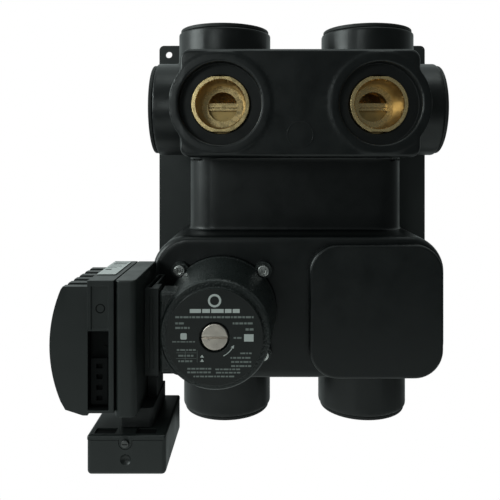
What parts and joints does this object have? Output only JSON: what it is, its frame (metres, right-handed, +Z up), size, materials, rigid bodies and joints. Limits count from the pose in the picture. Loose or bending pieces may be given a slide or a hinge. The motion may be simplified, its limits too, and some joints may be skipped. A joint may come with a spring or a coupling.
{
  "type": "underfloor heating manifold",
  "caption": "Wall-hung pump module for underfloor heating: black moulded casing, brass valves, wet-rotor circulator with a finned control box.",
  "frame": {"origin": "centre of the wall plate's rear face, on the wall", "axes": "+Y into the wall, so the front faces -Y; +Z up; +X to the right as seen from the front"},
  "size_m": [0.2925, 0.1855, 0.3243],
  "materials": {
    "casing_black": "satin moulded black plastic",
    "ring_black": "matt black",
    "insulation_foam": "grey bead foam",
    "brass": "machined",
    "steel": "bright",
    "dark_steel": "blackened",
    "motor_paint": "textured black paint",
    "cast_iron": "black dip coat",
    "ceramic": "ground",
    "copper": "enamelled wire",
    "rubber": "black rubber",
    "box_plastic": "fine-textured dark plastic",
    "label_white": "white",
    "nameplate_black": "printed black film",
    "board_green": "solder mask",
    "nickel": "nickel-plated brass",
    "impeller_plastic": "glass-filled plastic"
  },
  "bodies": {
    "module": {"front_shell": "casing_black", "rear_shell": "casing_black", "blank_cover": "casing_black", "top_ring_left": "ring_black", "top_ring_right": "ring_black", "side_ring_left": "ring_black", "side_ring_right": "ring_black", "bottom_ring_left": "ring_black", "bottom_ring_right": "ring_black", "flush_collar_left": "ring_black", "flush_collar_right": "ring_black", "cable_gland": "ring_black", "signal_socket": "ring_black", "foam_core": "insulation_foam", "valve_body_left": "brass", "valve_body_right": "brass", "valve_cap_left": "brass", "valve_cap_right": "brass", "lower_spigot_left": "brass", "lower_spigot_right": "brass", "casing_screw_1": "steel", "casing_screw_2": "steel", "casing_screw_3": "steel", "casing_screw_4": "steel", "riser_pipe_left": "steel", "bypass_pipe_right": "steel", "bearing_plate": "steel", "rotor_can": "steel", "terminal_screw": "steel", "flange_screw_1": "dark_steel", "flange_screw_2": "dark_steel", "flange_screw_3": "dark_steel", "flange_screw_4": "dark_steel", "stator_core": "dark_steel", "motor_housing": "motor_paint", "pump_housing": "cast_iron", "inner_bearing": "ceramic", "outer_bearing": "ceramic", "stator_winding": "copper", "valve_seal_left": "rubber", "valve_seal_right": "rubber", "housing_gasket": "rubber", "box_bracket": "box_plastic", "control_base": "box_plastic", "control_middle": "box_plastic", "finned_cover": "box_plastic", "cable_duct": "box_plastic", "terminal_box": "box_plastic", "terminal_lid": "box_plastic", "box_label": "label_white", "terminal_block": "label_white", "nameplate": "nameplate_black", "circuit_board": "board_green"},
    "valve_plug_left": {"valve_plug_left": "brass"},
    "valve_plug_right": {"valve_plug_right": "brass"},
    "rotor": {"rotor_shaft": "ceramic", "rotor_core": "steel", "impeller": "impeller_plastic"},
    "vent_seal": {"vent_seal": "rubber"},
    "vent_screw": {"vent_screw": "nickel"}
  },
  "joints": [
    {"name": "valve_turn_left", "type": "hinge", "parent": "module", "child": "valve_plug_left", "pos_m": [-0.0595, -0.0705, 0.073], "axis": [0, -1, 0], "range_deg": [-90, 90]},
    {"name": "valve_turn_right", "type": "hinge", "parent": "module", "child": "valve_plug_right", "pos_m": [0.0595, -0.0705, 0.073], "axis": [0, -1, 0], "range_deg": [-90, 90]},
    {"name": "rotor_spin", "type": "hinge", "parent": "module", "child": "rotor", "pos_m": [-0.0595, -0.125, -0.086], "axis": [0, -1, 0], "continuous": true},
    {"name": "vent_travel", "type": "slide", "parent": "module", "child": "vent_seal", "axis": [0, -1, 0], "range_m": [0, 0.0027]},
    {"name": "vent_turn", "type": "hinge", "parent": "vent_seal", "child": "vent_screw", "pos_m": [-0.0595, -0.172, -0.086], "axis": [0, -1, 0], "range_deg": [0, 720]}
  ],
  "couplings": [
    {"joint": "vent_travel", "follows": "vent_turn", "m_per_rad": 0.0002128}
  ]
}
